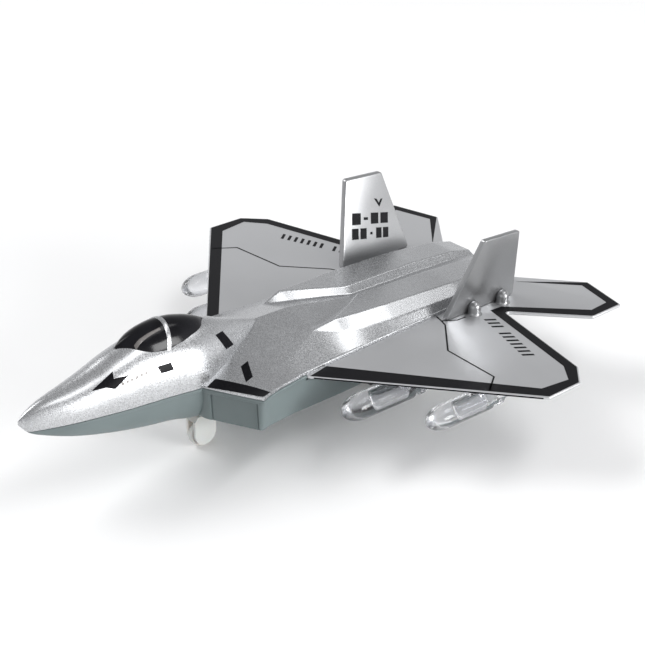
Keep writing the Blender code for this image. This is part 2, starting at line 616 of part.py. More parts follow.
def main():
    clear_scene()
    looks = {
        "silver": material("silver_flake_paint", (0.55, 0.56, 0.57), 0.35, 0.8),
        "satin": material("satin_silver_paint", (0.42, 0.43, 0.44), 0.4, 0.6),
        "grey": material("grey_green_plastic", (0.17, 0.22, 0.22), 0.45),
        "black_gloss": material("black_gloss_plastic", (0.01, 0.01, 0.012), 0.08),
        "clear": material("clear_plastic", (0.85, 0.87, 0.9), 0.05, 0.0, 0.35),
        "white": material("white_plastic", (0.75, 0.74, 0.7), 0.4),
        "rubber": material("black_rubber", (0.03, 0.03, 0.03), 0.8),
        "black": material("black_plastic", (0.04, 0.04, 0.045), 0.5),
        "steel": material("bright_steel", (0.6, 0.6, 0.62), 0.3, 1.0),
        "dark": material("dark_grey_plastic", (0.08, 0.085, 0.09), 0.5),
    }
    upper_shell(looks["silver"])
    lower_shell(looks["grey"])
    wing_plate(looks["satin"])
    loft("canopy_glazing", canopy_rings(0.0, CANOPY_SILL - 1.0), looks["black_gloss"])
    for side, word in ((1, "left"), (-1, "right")):
        fin(side, word, looks["satin"])
        nozzle(side, word, looks["dark"])
        for place in MISSILES:
            missile(side, word, place, looks["clear"])
    for name, x, y in screw_places():
        if name.startswith("case"):
            screw(name, x, y, -4.6 - GAP, 2.0, 1.7, 0.75, looks["steel"])
        else:
            screw(name, x, y, -PLATE - GAP, 2.0, 1.7, 0.75, looks["steel"])
    nose_gear(looks)
    rear_wheels(looks)
    motor(looks)


main()
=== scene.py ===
"""Looks of the pull-back toy jet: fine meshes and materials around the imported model.

Sizes are in millimetres in the row frame: +Z up, nose towards -Y, +X is the jet's left side.
Heights of the body are written above the deck, which is the top of the wing plate.
"""
import json
import math

import bmesh
import bpy
import numpy as np
from mathutils import Matrix, Vector
from mathutils.bvhtree import BVHTree


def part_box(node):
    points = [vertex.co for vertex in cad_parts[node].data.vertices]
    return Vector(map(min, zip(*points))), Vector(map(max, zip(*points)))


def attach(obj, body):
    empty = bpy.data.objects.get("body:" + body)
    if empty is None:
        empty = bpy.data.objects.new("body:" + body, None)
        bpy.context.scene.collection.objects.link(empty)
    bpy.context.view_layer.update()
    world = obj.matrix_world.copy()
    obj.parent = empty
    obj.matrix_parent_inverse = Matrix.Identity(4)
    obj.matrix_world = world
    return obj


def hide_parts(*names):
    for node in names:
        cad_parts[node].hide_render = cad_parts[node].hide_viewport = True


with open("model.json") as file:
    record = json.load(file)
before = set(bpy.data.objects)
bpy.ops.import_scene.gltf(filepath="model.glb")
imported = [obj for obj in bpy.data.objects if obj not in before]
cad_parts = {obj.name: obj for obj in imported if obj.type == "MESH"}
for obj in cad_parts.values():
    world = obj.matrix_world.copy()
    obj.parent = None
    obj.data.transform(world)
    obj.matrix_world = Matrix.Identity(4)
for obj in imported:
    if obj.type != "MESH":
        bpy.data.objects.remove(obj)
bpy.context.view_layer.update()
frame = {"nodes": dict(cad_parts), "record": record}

MM = 0.001


def corners(node):
    """Lowest and highest corner of a CAD node in millimetres."""
    low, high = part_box(node)
    return low / MM, high / MM


DECK = corners("wing_plate")[1].z
PLATE = DECK - corners("wing_plate")[0].z
NOSE_TIP = corners("upper_fuselage_shell")[0].y
PLATE_FRONT = corners("wing_plate")[0].y
BODY_END = corners("lower_fuselage_shell")[1].y
# The seam between the shells climbs by this much for each millimetre ahead of the wing plate
SEAM_RISE = 0.025

# Forebody: y, half width at the seam, top and keel above the deck
FOREBODY = [
    (NOSE_TIP, 0.3, 4.5, 3.4), (-77.2, 1.7, 5.9, 1.2), (-73.3, 3.1, 7.5, -0.6),
    (-66.5, 4.9, 9.1, -2.9), (-60.9, 5.9, 10.7, -4.3), (-53.7, 7.0, 13.2, -5.7),
    (-47.4, 7.6, 14.6, -6.7), (-41.1, 8.2, 14.8, -7.4), (-34.4, 9.0, 14.4, -8.7),
    (-27.0, 7.5, 13.4, -9.2), (-19.7, 5.0, 10.9, -9.3), (-11.2, 1.9, 8.0, -9.3),
]
# Intake lips: two slanted rows of (x, y, z) from the spine out to the rim, heights above the deck
SHOULDER = [
    [(0, -34.2, 1.0), (5, -34.2, 1.0), (9.0, -34.2, 1.0), (13.5, -32.0, 1.1), (18, -29.8, 1.25),
     (23.4, -27.1, 1.4)],
    [(0, -27, 3.0), (3, -27, 3.0), (6.2, -27, 3.1), (12, -26.4, 2.4), (17, -25.4, 1.8), (22.1, -24.3, 1.1)],
]
# Shoulders and engine humps behind them: y, then (x, z) from the spine out to the rim
HUMPS = [
    (-20, [(0, 5.0), (1.7, 5.0), (3.5, 5.2), (9, 4.0), (14.5, 2.6), (20.9, 0.9)]),
    (-11.2, [(0, 7.9), (2.5, 7.2), (5, 6.4), (9.5, 4.8), (14, 3.1), (19.3, 0.9)]),
    (-0.8, [(0, 7.7), (8.9, 5.1), (9.3, 5.0), (9.6, 4.9), (10, 4.75), (18.6, 0.9)]),
    (5.6, [(0, 6.6), (7.6, 4.4), (10.4, 6.4), (10.9, 6.4), (13.4, 4.0), (18.2, 0.9)]),
    (13.5, [(0, 5.1), (4.6, 4.1), (6.6, 6.0), (11.2, 6.0), (14.8, 3.6), (17.7, 0.9)]),
    (21.1, [(0, 3.9), (0.9, 3.9), (2.4, 5.7), (11.8, 5.8), (15.4, 3.2), (17.4, 0.9)]),
    (45, [(0, 3.0), (1.2, 3.0), (3.2, 4.9), (12.2, 4.75), (15.3, 2.6), (16.3, 0.8)]),
    (60, [(0, 2.3), (1.4, 2.3), (3.0, 3.8), (11.2, 3.7), (13.6, 2.0), (14.6, 0.7)]),
    (66, [(0, 1.6), (1.4, 1.6), (3.0, 2.4), (10.4, 2.4), (12.4, 1.4), (13.2, 0.6)]),
]
SHOULDER += [[(x, y, z) for x, z in row] for y, row in HUMPS]
# Edge of the centre body in plan, from the notch beside the forebody: y and half width
BODY_EDGE = [
    (-34.4, 9.0), (-27.1, 23.4), (-23.6, 21.8), (-13.0, 19.5), (4.0, 18.4), (13.0, 17.8), (33.7, 17.0),
    (50.0, 16.0), (60.0, 14.6), (BODY_END, 13.2),
]
# Bottom of the belly below the deck: y and height
BELLY = [(-34.4, -8.3), (-27.0, -8.5), (-9.0, -10.2), (4.0, -10.5), (50.0, -10.5), (BODY_END, -8.0)]
# Section of the belly's wall: (how far it is drawn in, height) above the belly, then from the seam
BELLY_FOOT = [(1.75, 0.0), (1.15, 0.12), (0.95, 0.45)]
BELLY_WALL = [
    (0.1, -1.15), (0.02, -1.0), (-0.12, -0.9), (-0.18, -0.7), (-0.18, -0.35), (-0.1, -0.2), (0.05, -0.12),
    (0.05, 2.0),
]
# Half outline of the wing plate, from the middle of its front edge round to the middle of its tail
WING = [
    (0, PLATE_FRONT), (19.8, PLATE_FRONT), (65.0, 25.3), (64.8, 36.1), (59.0, 41.7), (26.5, 49.8),
    (43.2, 64.8), (43.1, 75.5), (28.5, 79.1), (14.0, 67.3), (10.0, 64.5), (0, 64.5),
]
# Inner edge of the black border, from the leading edge at the body round to the tail's root
BORDER = [
    (19.05, -4.17), (60.77, 26.93), (61.88, 35.03), (56.51, 39.19), (23.6, 47.45), (23.8, 51.2),
    (40.33, 67.36), (39.86, 73.5), (28.9, 76.3), (15.9, 64.9),
]
# Dark lines on each wing, as (x, y) places: a panel line from the body out past the fin's front, then a line
# along the fin's outer foot
WING_LINES = [
    [(17.0, 34.6), (19.7, 33.8), (22.0, 32.9), (32.4, 23.7), (49.3, 22.6), (53.4, 16.9)],
    [(19.7, 33.8), (22.0, 37.2), (22.1, 40.0)],
]
# Canopy glazing: y, half width, top above the deck
CANOPY = [
    (-52.1, 0.9, 14.1), (-50.0, 3.1, 15.2), (-47.4, 4.6, 16.2), (-44.0, 5.4, 17.0), (-40.5, 5.75, 17.3),
    (-37.0, 5.7, 17.0), (-33.0, 5.1, 16.1), (-29.5, 4.0, 14.8), (-27.0, 1.3, 13.5),
]
CANOPY_SILL = 10.5
CANOPY_FOOT = CANOPY_SILL - 1.0
CANOPY_ARCH_Y = -41.0
CANOPY_RIB = [(-48.6, 3.0), (-47.0, 2.85), (-44.1, 2.86), (-41.2, 2.85)]
# Marks on the shell: as (x, y) on the shoulders and (y, height) on the forebody's side
LIP_PRINTS = [
    [(9.3, -30.45), (21.75, -23.95), (22.98, -27.0), (10.0, -33.55)],
    [(10.36, -23.62), (9.9, -21.1), (14.94, -23.64), (15.47, -26.18)],
]
SIDE_PRINTS = [
    [(-26.85, 10.59), (-24.01, 10.37), (-21.47, 6.25), (-24.59, 6.45)],
    [(-45.19, 9.15), (-41.48, 9.09), (-41.04, 7.29), (-44.44, 7.33)],
    [(-62.0, 7.75), (-55.8, 10.6), (-56.2, 9.2), (-58.6, 7.8)],
    [(-58.6, 7.8), (-56.2, 9.2), (-52.4, 9.2), (-56.6, 7.0)],
]
# Pale dashes on the forebody: the first one's corner and the step to the next, as (y, height)
SIDE_DASHES, DASH_START, DASH_STEP = 6, (-55.0, 7.25), (1.25, 0.17)
# Dashes along the trailing edge, as (x, y) places of the row's ends; one place stays empty
EDGE_DASHES, EMPTY_DASH = 11, 3
EDGE_START, EDGE_END = (27.8, 45.0), (49.2, 37.7)
# Two rows of plain bars on each fin's inner face: corners as (y, height), then the share each bar takes
FIN_ROWS = [
    [(41.2, 13.6), (53.5, 10.8), (52.9, 8.1), (40.5, 10.6)],
    [(40.2, 9.7), (52.8, 7.0), (52.2, 4.4), (39.6, 6.9)],
]
FIN_SPANS = [
    [(0.0, 0.24), (0.32, 0.44), (0.52, 0.73), (0.79, 1.0)],
    [(0.0, 0.18), (0.23, 0.4), (0.5, 0.56), (0.66, 0.81), (0.85, 1.0)],
]
# A plain chevron above the bars, in two halves
FIN_CHEVRON = [
    [(49.5, 15.5), (50.4, 15.2), (51.0, 14.0), (50.9, 12.9)],
    [(50.9, 12.9), (51.0, 14.0), (51.7, 14.8), (52.5, 14.8)],
]
# Ink stands this far above a surface and reaches as far into it
INK = 0.025
# On the right wing, the border's first two inner corners lie this far further forward
PRINT_SLIP = (3.3, 0.4)
# The keel's foremost section, and its sides as (share of the half width, share of the depth)
KEEL_FRONT = -77.3
KEEL_SIDE = [(0.985, 0.25), (0.95, 0.45), (0.88, 0.68), (0.77, 0.87), (0.66, 0.965)]
# Radii of the edges round the shoulders and the wing plate, of the shoulders' own bends, and of the
# plate's corners in plan
RIM_R, BEND_R, WING_CORNER = 0.3, 0.3, 0.9
# Fins: x at the root and thickness, y of the ends of root and tip, x and heights of the tip, feet at (x, y)
FIN_X, FIN_THICK = 19.8, 1.6
FIN_ROOT_Y, FIN_TOP_Y = (34.4, 58.8), (41.1, 53.8)
FIN_TOP_X, FIN_TOP_Z = 26.1, (22.4, 21.5)
FIN_FEET = [(22.2, 43.0), (22.2, 53.2)]
FOOT_RADIUS, FOOT_HEIGHT = 1.6, 3.5
# Stores: x, y of the tip, radius and length
MISSILES = {"inner": (31.0, -9.3, 3.3, 34.0), "outer": (47.6, 2.4, 3.05, 31.5)}
MISSILE_Z = -6.1
MISSILE_NOSE = 5.5
# The cavity in a store starts this far behind its tip
CAVITY_START = 8.0
# A store's waist and collar: (distance behind the waist, share of the radius)
WAIST = [
    (-0.4, 1.0), (0.0, 0.97), (0.5, 0.84), (0.9, 0.8), (2.0, 0.8), (2.3, 0.85), (2.7, 0.95), (3.6, 0.95),
    (3.9, 0.88), (4.4, 0.7),
]
# Recess in the intake's face: (share of the face's length, depth), with a groove beside each post
RECESS = [
    (0.10, -3.0), (0.89, -3.0), (0.89, 0.0), (0.878, 0.85), (0.86, 0.55), (0.15, 0.55), (0.125, 0.8),
    (0.10, 0.0),
]
# Tread of a rear tyre: (share of its width, drop below its outer radius)
TREAD = [
    (0.0, 0.5), (0.04, 0.25), (0.12, 0.06), (0.2, 0.0), (0.33, 0.0), (0.36, 0.25), (0.42, 0.25), (0.45, 0.0),
    (0.55, 0.0), (0.58, 0.25), (0.64, 0.25), (0.67, 0.0), (0.8, 0.0), (0.88, 0.06), (0.96, 0.25), (1.0, 0.5),
]
TYRE_BORE = 4.0
AXLE_BORE = 0.65
# Studio lights: place and size in metres, power in watts
LIGHTS = {
    "key_softbox": ((0.451, 0.315, 0.953), (1.05, 0.27), 3.3),
    "side_softbox": ((1.001, 0.404, 0.210), (0.52, 0.42), 10.5),
    "top_softbox": ((-0.92, -0.53, 1.06), (0.9, 0.7), 11.0),
    "front_softbox": ((0.35, -1.05, 0.28), (0.35, 0.4), 0.5),
}
LIGHT_TARGET = (0, 0, 0.02)
# Camera: place in metres, degrees round from ahead of the nose and down, lens and sensor in millimetres
CAMERA_PLACE = (0.3194, -0.2649, 0.2331)
CAMERA_AZIMUTH, CAMERA_ELEVATION = 49.1775, 26.7294
CAMERA_LENS, CAMERA_SENSOR = 104.11, 36.0


# ---- numbers

def straight(table, y, column):
    """Reads a column of a table of stations at y, in straight lines between its rows."""
    ys = [row[0] for row in table]
    return float(np.interp(y, ys, [row[column] for row in table]))


def smooth(table, y, column):
    """Reads a column of a table of stations at y, on a smooth curve that never overshoots its rows."""
    ys = [row[0] for row in table]
    vs = [row[column] for row in table]
    slopes = [(b - a) / (d - c) for a, b, c, d in zip(vs, vs[1:], ys, ys[1:])]
    tangents = [slopes[0]]
    for before, after in zip(slopes, slopes[1:]):
        same_way = before * after > 0
        tangents.append(2 * before * after / (before + after) if same_way else 0.0)
    tangents.append(slopes[-1])
    y = min(max(y, ys[0]), ys[-1])
    i = min(int(np.searchsorted(ys, y, side="right")) - 1, len(ys) - 2)
    width = ys[i + 1] - ys[i]
    t = (y - ys[i]) / width
    start = (1 + 2 * t) * (1 - t) ** 2 * vs[i] + t * (1 - t) ** 2 * width * tangents[i]
    end = t * t * (3 - 2 * t) * vs[i + 1] + t * t * (t - 1) * width * tangents[i + 1]
    return start + end


def seam(y):
    """Height of the seam above the deck."""
    return SEAM_RISE * max(0.0, PLATE_FRONT - y)


def mirrored(points):
    """A closed outline from its half at x >= 0."""
    return list(points) + [(-x, y) for x, y in reversed(points) if x > 0]


def quarter(steps):
    """Angles from 0 to a right angle in equal steps."""
    return [math.pi / 2 * step / steps for step in range(steps + 1)]


def corner_arc(start, here, end, steps):
    """Points of a curve from start to end that bends at the corner here."""
    curve = []
    for k in range(steps + 1):
        t = k / steps
        curve.append((1 - t) ** 2 * start + 2 * t * (1 - t) * here + t * t * end)
    return curve


def bends(outline):
    """Each point of a closed outline between its neighbours, as (before, here, after)."""
    points = [Vector(point) for point in outline]
    return zip(points[-1:] + points[:-1], points, points[1:] + points[:1])


def rounded(outline, radius):
    """A closed outline with its corners rounded off by arcs of about that radius."""
    points = []
    for before, here, after in bends(outline):
        one, two = before - here, after - here
        turn = math.pi - one.angle(two)
        if turn < 0.02:
            points.append(tuple(here))
            continue
        reach = min(radius * math.tan(turn / 2), 0.45 * one.length, 0.45 * two.length)
        start, end = here + one.normalized() * reach, here + two.normalized() * reach
        points += [tuple(point) for point in corner_arc(start, here, end, 5)]
    return points


def inset(outline, amount):
    """A closed outline moved inwards by an amount smaller than its details."""
    area = sum(a[0] * b[1] - b[0] * a[1] for a, b in zip(outline, outline[1:] + outline[:1]))
    side = 1.0 if area > 0 else -1.0
    moved = []
    for before, here, after in bends(outline):
        one, two = (here - before).normalized(), (after - here).normalized()
        normal = Vector((-one.y - two.y, one.x + two.x))
        normal *= side / max(0.3, 1.0 + one.dot(two))
        moved.append(tuple(here + normal * amount))
    return moved


# ---- meshes

def add(name, points, faces, look=None):
    """Adds a mesh object with merged points and outward faces."""
    mesh = bpy.data.meshes.new(name)
    mesh.from_pydata([Vector(p) * MM for p in points], [], faces)
    edit = bmesh.new()
    edit.from_mesh(mesh)
    bmesh.ops.remove_doubles(edit, verts=edit.verts, dist=1e-7)
    bmesh.ops.recalc_face_normals(edit, faces=edit.faces)
    edit.to_mesh(mesh)
    edit.free()
    obj = bpy.data.objects.new(name, mesh)
    bpy.context.scene.collection.objects.link(obj)
    if look:
        mesh.materials.append(look)
    shade(obj)
    return obj


def shade(obj, sharp=35.0):
    """Shades smoothly, except across edges sharper than that many degrees."""
    obj.data.shade_smooth()
    obj.data.set_sharp_from_angle(angle=math.radians(sharp))


def even_normals(obj):
    """Lets wide faces look flat beside their rounded edges."""
    step = obj.modifiers.new("Normals", "WEIGHTED_NORMAL")
    step.keep_sharp = True


def walls(rings):
    """The points of rings of points, and the faces between each ring and the next."""
    count = len(rings[0])
    faces = []
    for row in range(len(rings) - 1):
        for i in range(count):
            j = (i + 1) % count
            low, high = row * count, (row + 1) * count
            faces.append([low + i, low + j, high + j, high + i])
    return [point for ring in rings for point in ring], faces


def loft(name, rings, look=None):
    """A skin through rings of points, each ring closed on itself, with flat ends."""
    count = len(rings[0])
    points, faces = walls(rings)
    ends = [list(range(count)), [len(points) - count + i for i in range(count)]]
    return add(name, points, ends + faces, look)


def grid_solid(name, fronts, backs, across, look=None):
    """A closed solid between two grids of points, each with that many points in a row."""
    count = len(fronts)
    down = count // across
    faces = []
    for row in range(down - 1):
        for column in range(across - 1):
            corner = row * across + column
            quad = [corner, corner + 1, corner + across + 1, corner + across]
            faces += [quad, [count + index for index in quad]]
    sides = ((0, 1, across), (count - across, 1, across), (0, across, down), (across - 1, across, down))
    for first, step, last in sides:
        for i in range(last - 1):
            one, two = first + step * i, first + step * (i + 1)
            faces.append([one, two, count + two, count + one])
    return add(name, fronts + backs, faces, look)


def turned(name, profile, centre, axis, look=None, sides=64):
    """A solid of revolution: profile holds (place along the axis, radius), axis through centre."""
    points, faces = [], []
    count = len(profile)
    for step in range(sides):
        angle = 2 * math.pi * step / sides
        for along, radius in profile:
            side, up = radius * math.cos(angle), radius * math.sin(angle)
            offset = {"X": (along, side, up), "Y": (side, along, up), "Z": (side, up, along)}[axis]
            points.append(tuple(c + o for c, o in zip(centre, offset)))
    closed = profile[0] == profile[-1]
    for step in range(sides):
        low, high = step * count, (step + 1) % sides * count
        for i in range(count - 1):
            faces.append([low + i, low + i + 1, high + i + 1, high + i])
    if not closed:
        for end in (0, count - 1):
            if profile[end][1] > 0:
                faces.append([step * count + end for step in range(sides)])
    return add(name, points, faces, look)


def slab(name, outline, low, high, edge, to_row, look=None):
    """A flat plate of that outline between two levels, with rounded edges. to_row maps (u, v, w)."""
    rings = []
    for angle in quarter(4):
        ring = inset(outline, edge * (1 - math.sin(angle)))
        rings.append([to_row(u, v, low + edge * (1 - math.cos(angle))) for u, v in ring])
    for angle in reversed(quarter(4)):
        ring = inset(outline, edge * (1 - math.sin(angle)))
        rings.append([to_row(u, v, high - edge * (1 - math.cos(angle))) for u, v in ring])
    return loft(name, rings, look)


def block(name, low, high, edge=0.3):
    """A box between two corners, with rounded edges."""
    plan = [(low[0], low[1]), (high[0], low[1]), (high[0], high[1]), (low[0], high[1])]
    return slab(name, rounded(plan, edge * 1.5), low[2], high[2], edge, lambda u, v, w: (u, v, w))


def boolean(obj, tool, operation):
    """Joins or cuts obj with a tool, which is used up."""
    step = obj.modifiers.new(operation, "BOOLEAN")
    step.operation = operation
    step.solver = "EXACT"
    step.object = tool
    graph = bpy.context.evaluated_depsgraph_get()
    made = bpy.data.meshes.new_from_object(obj.evaluated_get(graph))
    obj.modifiers.clear()
    old, obj.data = obj.data, made
    bpy.data.meshes.remove(old)
    bpy.data.objects.remove(tool)


def finished(obj, look, sharp):
    """A solid made by Booleans, with one material and its shading set again."""
    obj.data.materials.clear()
    obj.data.materials.append(look)
    shade(obj, sharp)
    return obj


def place(obj, body, slot, *nodes):
    """Rides a piece on its body in place of CAD nodes. Its material slot is not used."""
    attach(obj, body)
    if nodes:
        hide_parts(*nodes)
    return obj


def merged(name, parts):
    """Several objects as one piece of that name."""
    edit = bmesh.new()
    looks = []
    for part in parts:
        for look in part.data.materials:
            if look not in looks:
                looks.append(look)
        slots = [looks.index(look) for look in part.data.materials]
        start = len(edit.faces)
        edit.from_mesh(part.data)
        edit.faces.ensure_lookup_table()
        for face in edit.faces[start:]:
            face.material_index = slots[face.material_index] if slots else 0
    mesh = bpy.data.meshes.new(name)
    edit.to_mesh(mesh)
    edit.free()
    for look in looks:
        mesh.materials.append(look)
    for part in parts:
        bpy.data.objects.remove(part)
    obj = bpy.data.objects.new(name, mesh)
    bpy.context.scene.collection.objects.link(obj)
    shade(obj)
    return obj


# ---- materials

class Nodes:
    """A small helper that builds one material's nodes."""

    def __init__(self, name):
        self.material = bpy.data.materials.new(name)
        self.material.use_nodes = True
        self.tree = self.material.node_tree
        self.shader = self.tree.nodes["Principled BSDF"]
        self.place = self.tree.nodes.new("ShaderNodeTexCoord").outputs["Object"]

    def connect(self, socket, value):
        """Links a socket to an input, or sets the input to a value."""
        if isinstance(value, bpy.types.NodeSocket):
            self.tree.links.new(value, socket)
        else:
            socket.default_value = value

    def node(self, kind, inputs, **settings):
        made = self.tree.nodes.new("ShaderNode" + kind)
        for key, value in settings.items():
            setattr(made, key, value)
        for key, value in inputs.items():
            self.connect(made.inputs[key], value)
        return made

    def noise(self, scale, detail):
        return self.node("TexNoise", {"Vector": self.place, "Scale": scale, "Detail": detail}).outputs["Fac"]

    def cells(self, scale):
        return self.node("TexVoronoi", {"Vector": self.place, "Scale": scale}).outputs

    def spread(self, value, low, high, start=0.0, end=1.0):
        """Maps value from start..end to low..high."""
        ends = {"From Min": start, "From Max": end, "To Min": low, "To Max": high}
        return self.node("MapRange", {"Value": value, **ends}).outputs["Result"]

    def maths(self, operation, one, two):
        return self.node("Math", {0: one, 1: two}, operation=operation).outputs[0]

    def blend(self, share, one, two):
        """Mixes two colours by share. Each is three numbers or a socket."""
        factor, first, second, result = 0, 6, 7, 2
        ends = [end if isinstance(end, bpy.types.NodeSocket) else (*end, 1.0) for end in (one, two)]
        made = self.node("Mix", {factor: share, first: ends[0], second: ends[1]}, data_type="RGBA")
        return made.outputs[result]

    def bump(self, height, strength, distance):
        made = self.node("Bump", {"Height": height, "Strength": strength, "Distance": distance * MM})
        self.tree.links.new(made.outputs["Normal"], self.shader.inputs["Normal"])

    def set(self, **values):
        """Sets the shader's inputs, by names with _ for a space, and gives the material."""
        for key, value in values.items():
            value = (*value, 1.0) if isinstance(value, tuple) else value
            self.connect(self.shader.inputs[key.replace("_", " ")], value)
        return self.material


def flake_paint(name, dark, light, metallic, roughness):
    """Silver paint: small flakes of slightly different brightness, over a faint orange peel."""
    made = Nodes(name)
    flakes = made.cells(5200.0)
    grain = made.node("SeparateColor", {"Color": flakes["Color"]}).outputs["Red"]
    fine = made.noise(9000.0, 2.0)
    clouds = made.noise(70.0, 3.0)
    share = made.maths("MULTIPLY", grain, fine)
    share = made.maths("ADD", share, made.spread(clouds, -0.08, 0.08, 0.3, 0.7))
    colour = made.blend(made.spread(share, 0.0, 1.0, 0.05, 0.6), dark, light)
    peel = made.noise(900.0, 2.0)
    made.bump(made.maths("ADD", grain, peel), 0.07, 0.012)
    rough = made.spread(grain, roughness - 0.04, roughness + 0.06)
    return made.set(Base_Color=colour, Metallic=metallic, Roughness=rough)


def satin_paint(name, grey, metallic, roughness):
    """Finer silver paint on the flat castings, with faint clouds."""
    made = Nodes(name)
    clouds = made.noise(45.0, 4.0)
    fine = made.noise(7000.0, 2.0)
    dark, middle, light = ((level, level * 1.01, level * 1.03) for level in (grey, grey + 0.05, grey + 0.11))
    base = made.blend(made.spread(clouds, 0.0, 1.0, 0.3, 0.7), dark, middle)
    colour = made.blend(made.spread(fine, 0.0, 0.5, 0.35, 0.65), base, light)
    made.bump(fine, 0.10, 0.008)
    rough = made.spread(clouds, roughness, roughness + 0.06, 0.3, 0.7)
    return made.set(Base_Color=colour, Metallic=metallic, Roughness=rough)


def cloudy(name, clouds, ramp, tones, grain, relief, roughness, **extra):
    """A material whose colour and roughness follow faint clouds, over a grain of its own.

    clouds and grain are (scale, detail) of a noise, and the clouds also make the relief where grain is
    None. ramp is the part of the noise that goes from one tone to the other, relief is (strength, depth)
    of the bump, and roughness is (lowest, highest).
    """
    made = Nodes(name)
    pattern = made.noise(*clouds)
    colour = made.blend(made.spread(pattern, 0.0, 1.0, *ramp), *tones)
    made.bump(made.noise(*grain) if grain else pattern, *relief)
    return made.set(Base_Color=colour, Roughness=made.spread(pattern, *roughness, 0.3, 0.7), **extra)


def moulded_plastic(name, low, high, roughness, **extra):
    """Moulded plastic: faint flow clouds in its colour and a fine mould grain."""
    ends = (roughness - 0.04, roughness + 0.05)
    return cloudy(name, (60.0, 3.0), (0.35, 0.65), (low, high), (2500.0, 2.0), (0.12, 0.02), ends, **extra)


def ink(name, scale, tones, **extra):
    """Printed ink, worn unevenly in fine spots."""
    return cloudy(name, (scale, 3.0), (0.35, 0.7), tones, None, (0.06, 0.01), (0.3, 0.4), **extra)


def clear_plastic():
    tones = ((0.80, 0.81, 0.84), (0.88, 0.885, 0.90))
    return cloudy("clear_plastic", (140.0, 2.0), (0.35, 0.65), tones, None, (0.15, 0.15), (0.10, 0.16),
                  IOR=1.45, Transmission_Weight=1.0)


def gloss_black():
    tones = ((0.003, 0.003, 0.004), (0.007, 0.007, 0.009))
    return cloudy("canopy_black", (180.0, 2.0), (0.35, 0.65), tones, None, (0.05, 0.05), (0.12, 0.18),
                  Specular_IOR_Level=0.2)


def steel():
    """Plated steel, with fine turning marks."""
    tones = ((0.50, 0.50, 0.52), (0.66, 0.66, 0.68))
    return cloudy("bright_steel", (300.0, 3.0), (0.3, 0.7), tones, (3000.0, 2.0), (0.1, 0.01), (0.22, 0.36),
                  Metallic=1.0)


def rubber():
    """Black rubber, with dust in patches."""
    tones = ((0.018, 0.018, 0.019), (0.045, 0.044, 0.042))
    return cloudy("tyre_rubber", (700.0, 4.0), (0.4, 0.75), tones, (3500.0, 3.0), (0.3, 0.03), (0.62, 0.8))


# ---- upper shell

def forebody_solid():
    """Rounded arches over the seam, a little fuller than an ellipse at their shoulders."""
    rings = []
    steps = 56
    tip_end, rear = NOSE_TIP + 4, FOREBODY[-1][0]
    for y in [*np.linspace(NOSE_TIP, tip_end, 10)[:-1], *np.linspace(tip_end, rear, 90)]:
        half, top, keel = smooth(FOREBODY, y, 1), smooth(FOREBODY, y, 2), smooth(FOREBODY, y, 3)
        base, low = max(seam(y), keel), max(seam(y) - 3.0, keel - 0.02)
        ring = [(-half * 0.9, y, DECK + low), (half * 0.9, y, DECK + low)]
        for step in range(steps + 1):
            angle = math.pi * step / steps
            rise = math.sin(angle) ** 0.83 if 0 < step < steps else 0.0
            ring.append((half * math.cos(angle), y, DECK + base + (top - base) * rise))
        rings.append(ring)
    return loft("forebody", rings)


def rounded_row(row):
    """A row of the shoulder with its corners rounded, and points along its straight runs."""
    points = [row[0]]
    for before, here, after in zip(row, row[1:], row[2:]):
        start, end = (
            here + way.normalized() * min(BEND_R, 0.42 * way.length) for way in (before - here, after - here)
        )
        points += [points[-1].lerp(start, share) for share in (0.05, 0.5, 0.95)]
        points += corner_arc(start, here, end, 4)
    top = row[-1] - Vector((RIM_R, 0, 0))
    points += [points[-1].lerp(top, share) for share in (0.05, 0.5, 0.97, 1.0)]
    return points + rim_end(row[-1])


def lip_rows():
    """Rows that round the front edge of the intake lips down into their front face."""
    rows = []
    along = (Vector(SHOULDER[0][-1]) - Vector(SHOULDER[0][2])).normalized()
    outwards = Vector((along.y, -along.x, 0.0))
    for angle in reversed(quarter(4)):
        move = outwards * RIM_R * (math.sin(angle) - 1) + Vector((0, 0, RIM_R * (math.cos(angle) - 1)))
        rows.append([Vector(point) + move for point in SHOULDER[0]])
    return rows


def rim_end(point):
    """The rim's last points: an arc from the top of the shoulder down into its side."""
    ways = [Vector((math.sin(angle) - 1, 0, math.cos(angle) - 1)) for angle in quarter(4)[1:]]
    return [point + way * RIM_R for way in ways]


def shoulder_solid():
    """The shoulders and humps, from their surface down to below the seam."""
    rows = lip_rows()
    for one, two in zip(SHOULDER, SHOULDER[1:]):
        steps = max(4, int((two[0][1] - one[0][1]) / 0.9))
        for step in range(0 if one is not SHOULDER[0] else 1, steps):
            t = step / steps
            rows.append([Vector(a).lerp(Vector(b), t) for a, b in zip(one, two)])
    rows.append([Vector(a) for a in SHOULDER[-1]])
    grid = np.array([[tuple(p) for p in rounded_row(row)] for row in rows])
    grid[1:-1] = (grid[:-2] + 4 * grid[1:-1] + grid[2:]) / 6
    grid = np.concatenate([(grid * [-1, 1, 1])[:, :0:-1], grid], axis=1)
    top = [tuple(p) for p in (grid + [0, 0, DECK]).reshape(-1, 3)]
    return grid_solid("shoulders", top, [(x, y, DECK - 3.0) for x, y, _ in top], grid.shape[1])


def seam_slab(lift, reach, over_plate):
    """A slab from the seam, lifted by lift, to reach, with its own level over the wing plate."""
    rings = []
    ends = [(y, seam(y) + lift) for y in (-95.0, PLATE_FRONT)]
    ends += [(y, over_plate) for y in (PLATE_FRONT + 0.01, 95.0)]
    for y, level in ends:
        corner_levels = ((-40, level), (40, level), (40, reach), (-40, reach))
        rings.append([(x, y, DECK + z) for x, z in corner_levels])
    return loft("seam", rings)


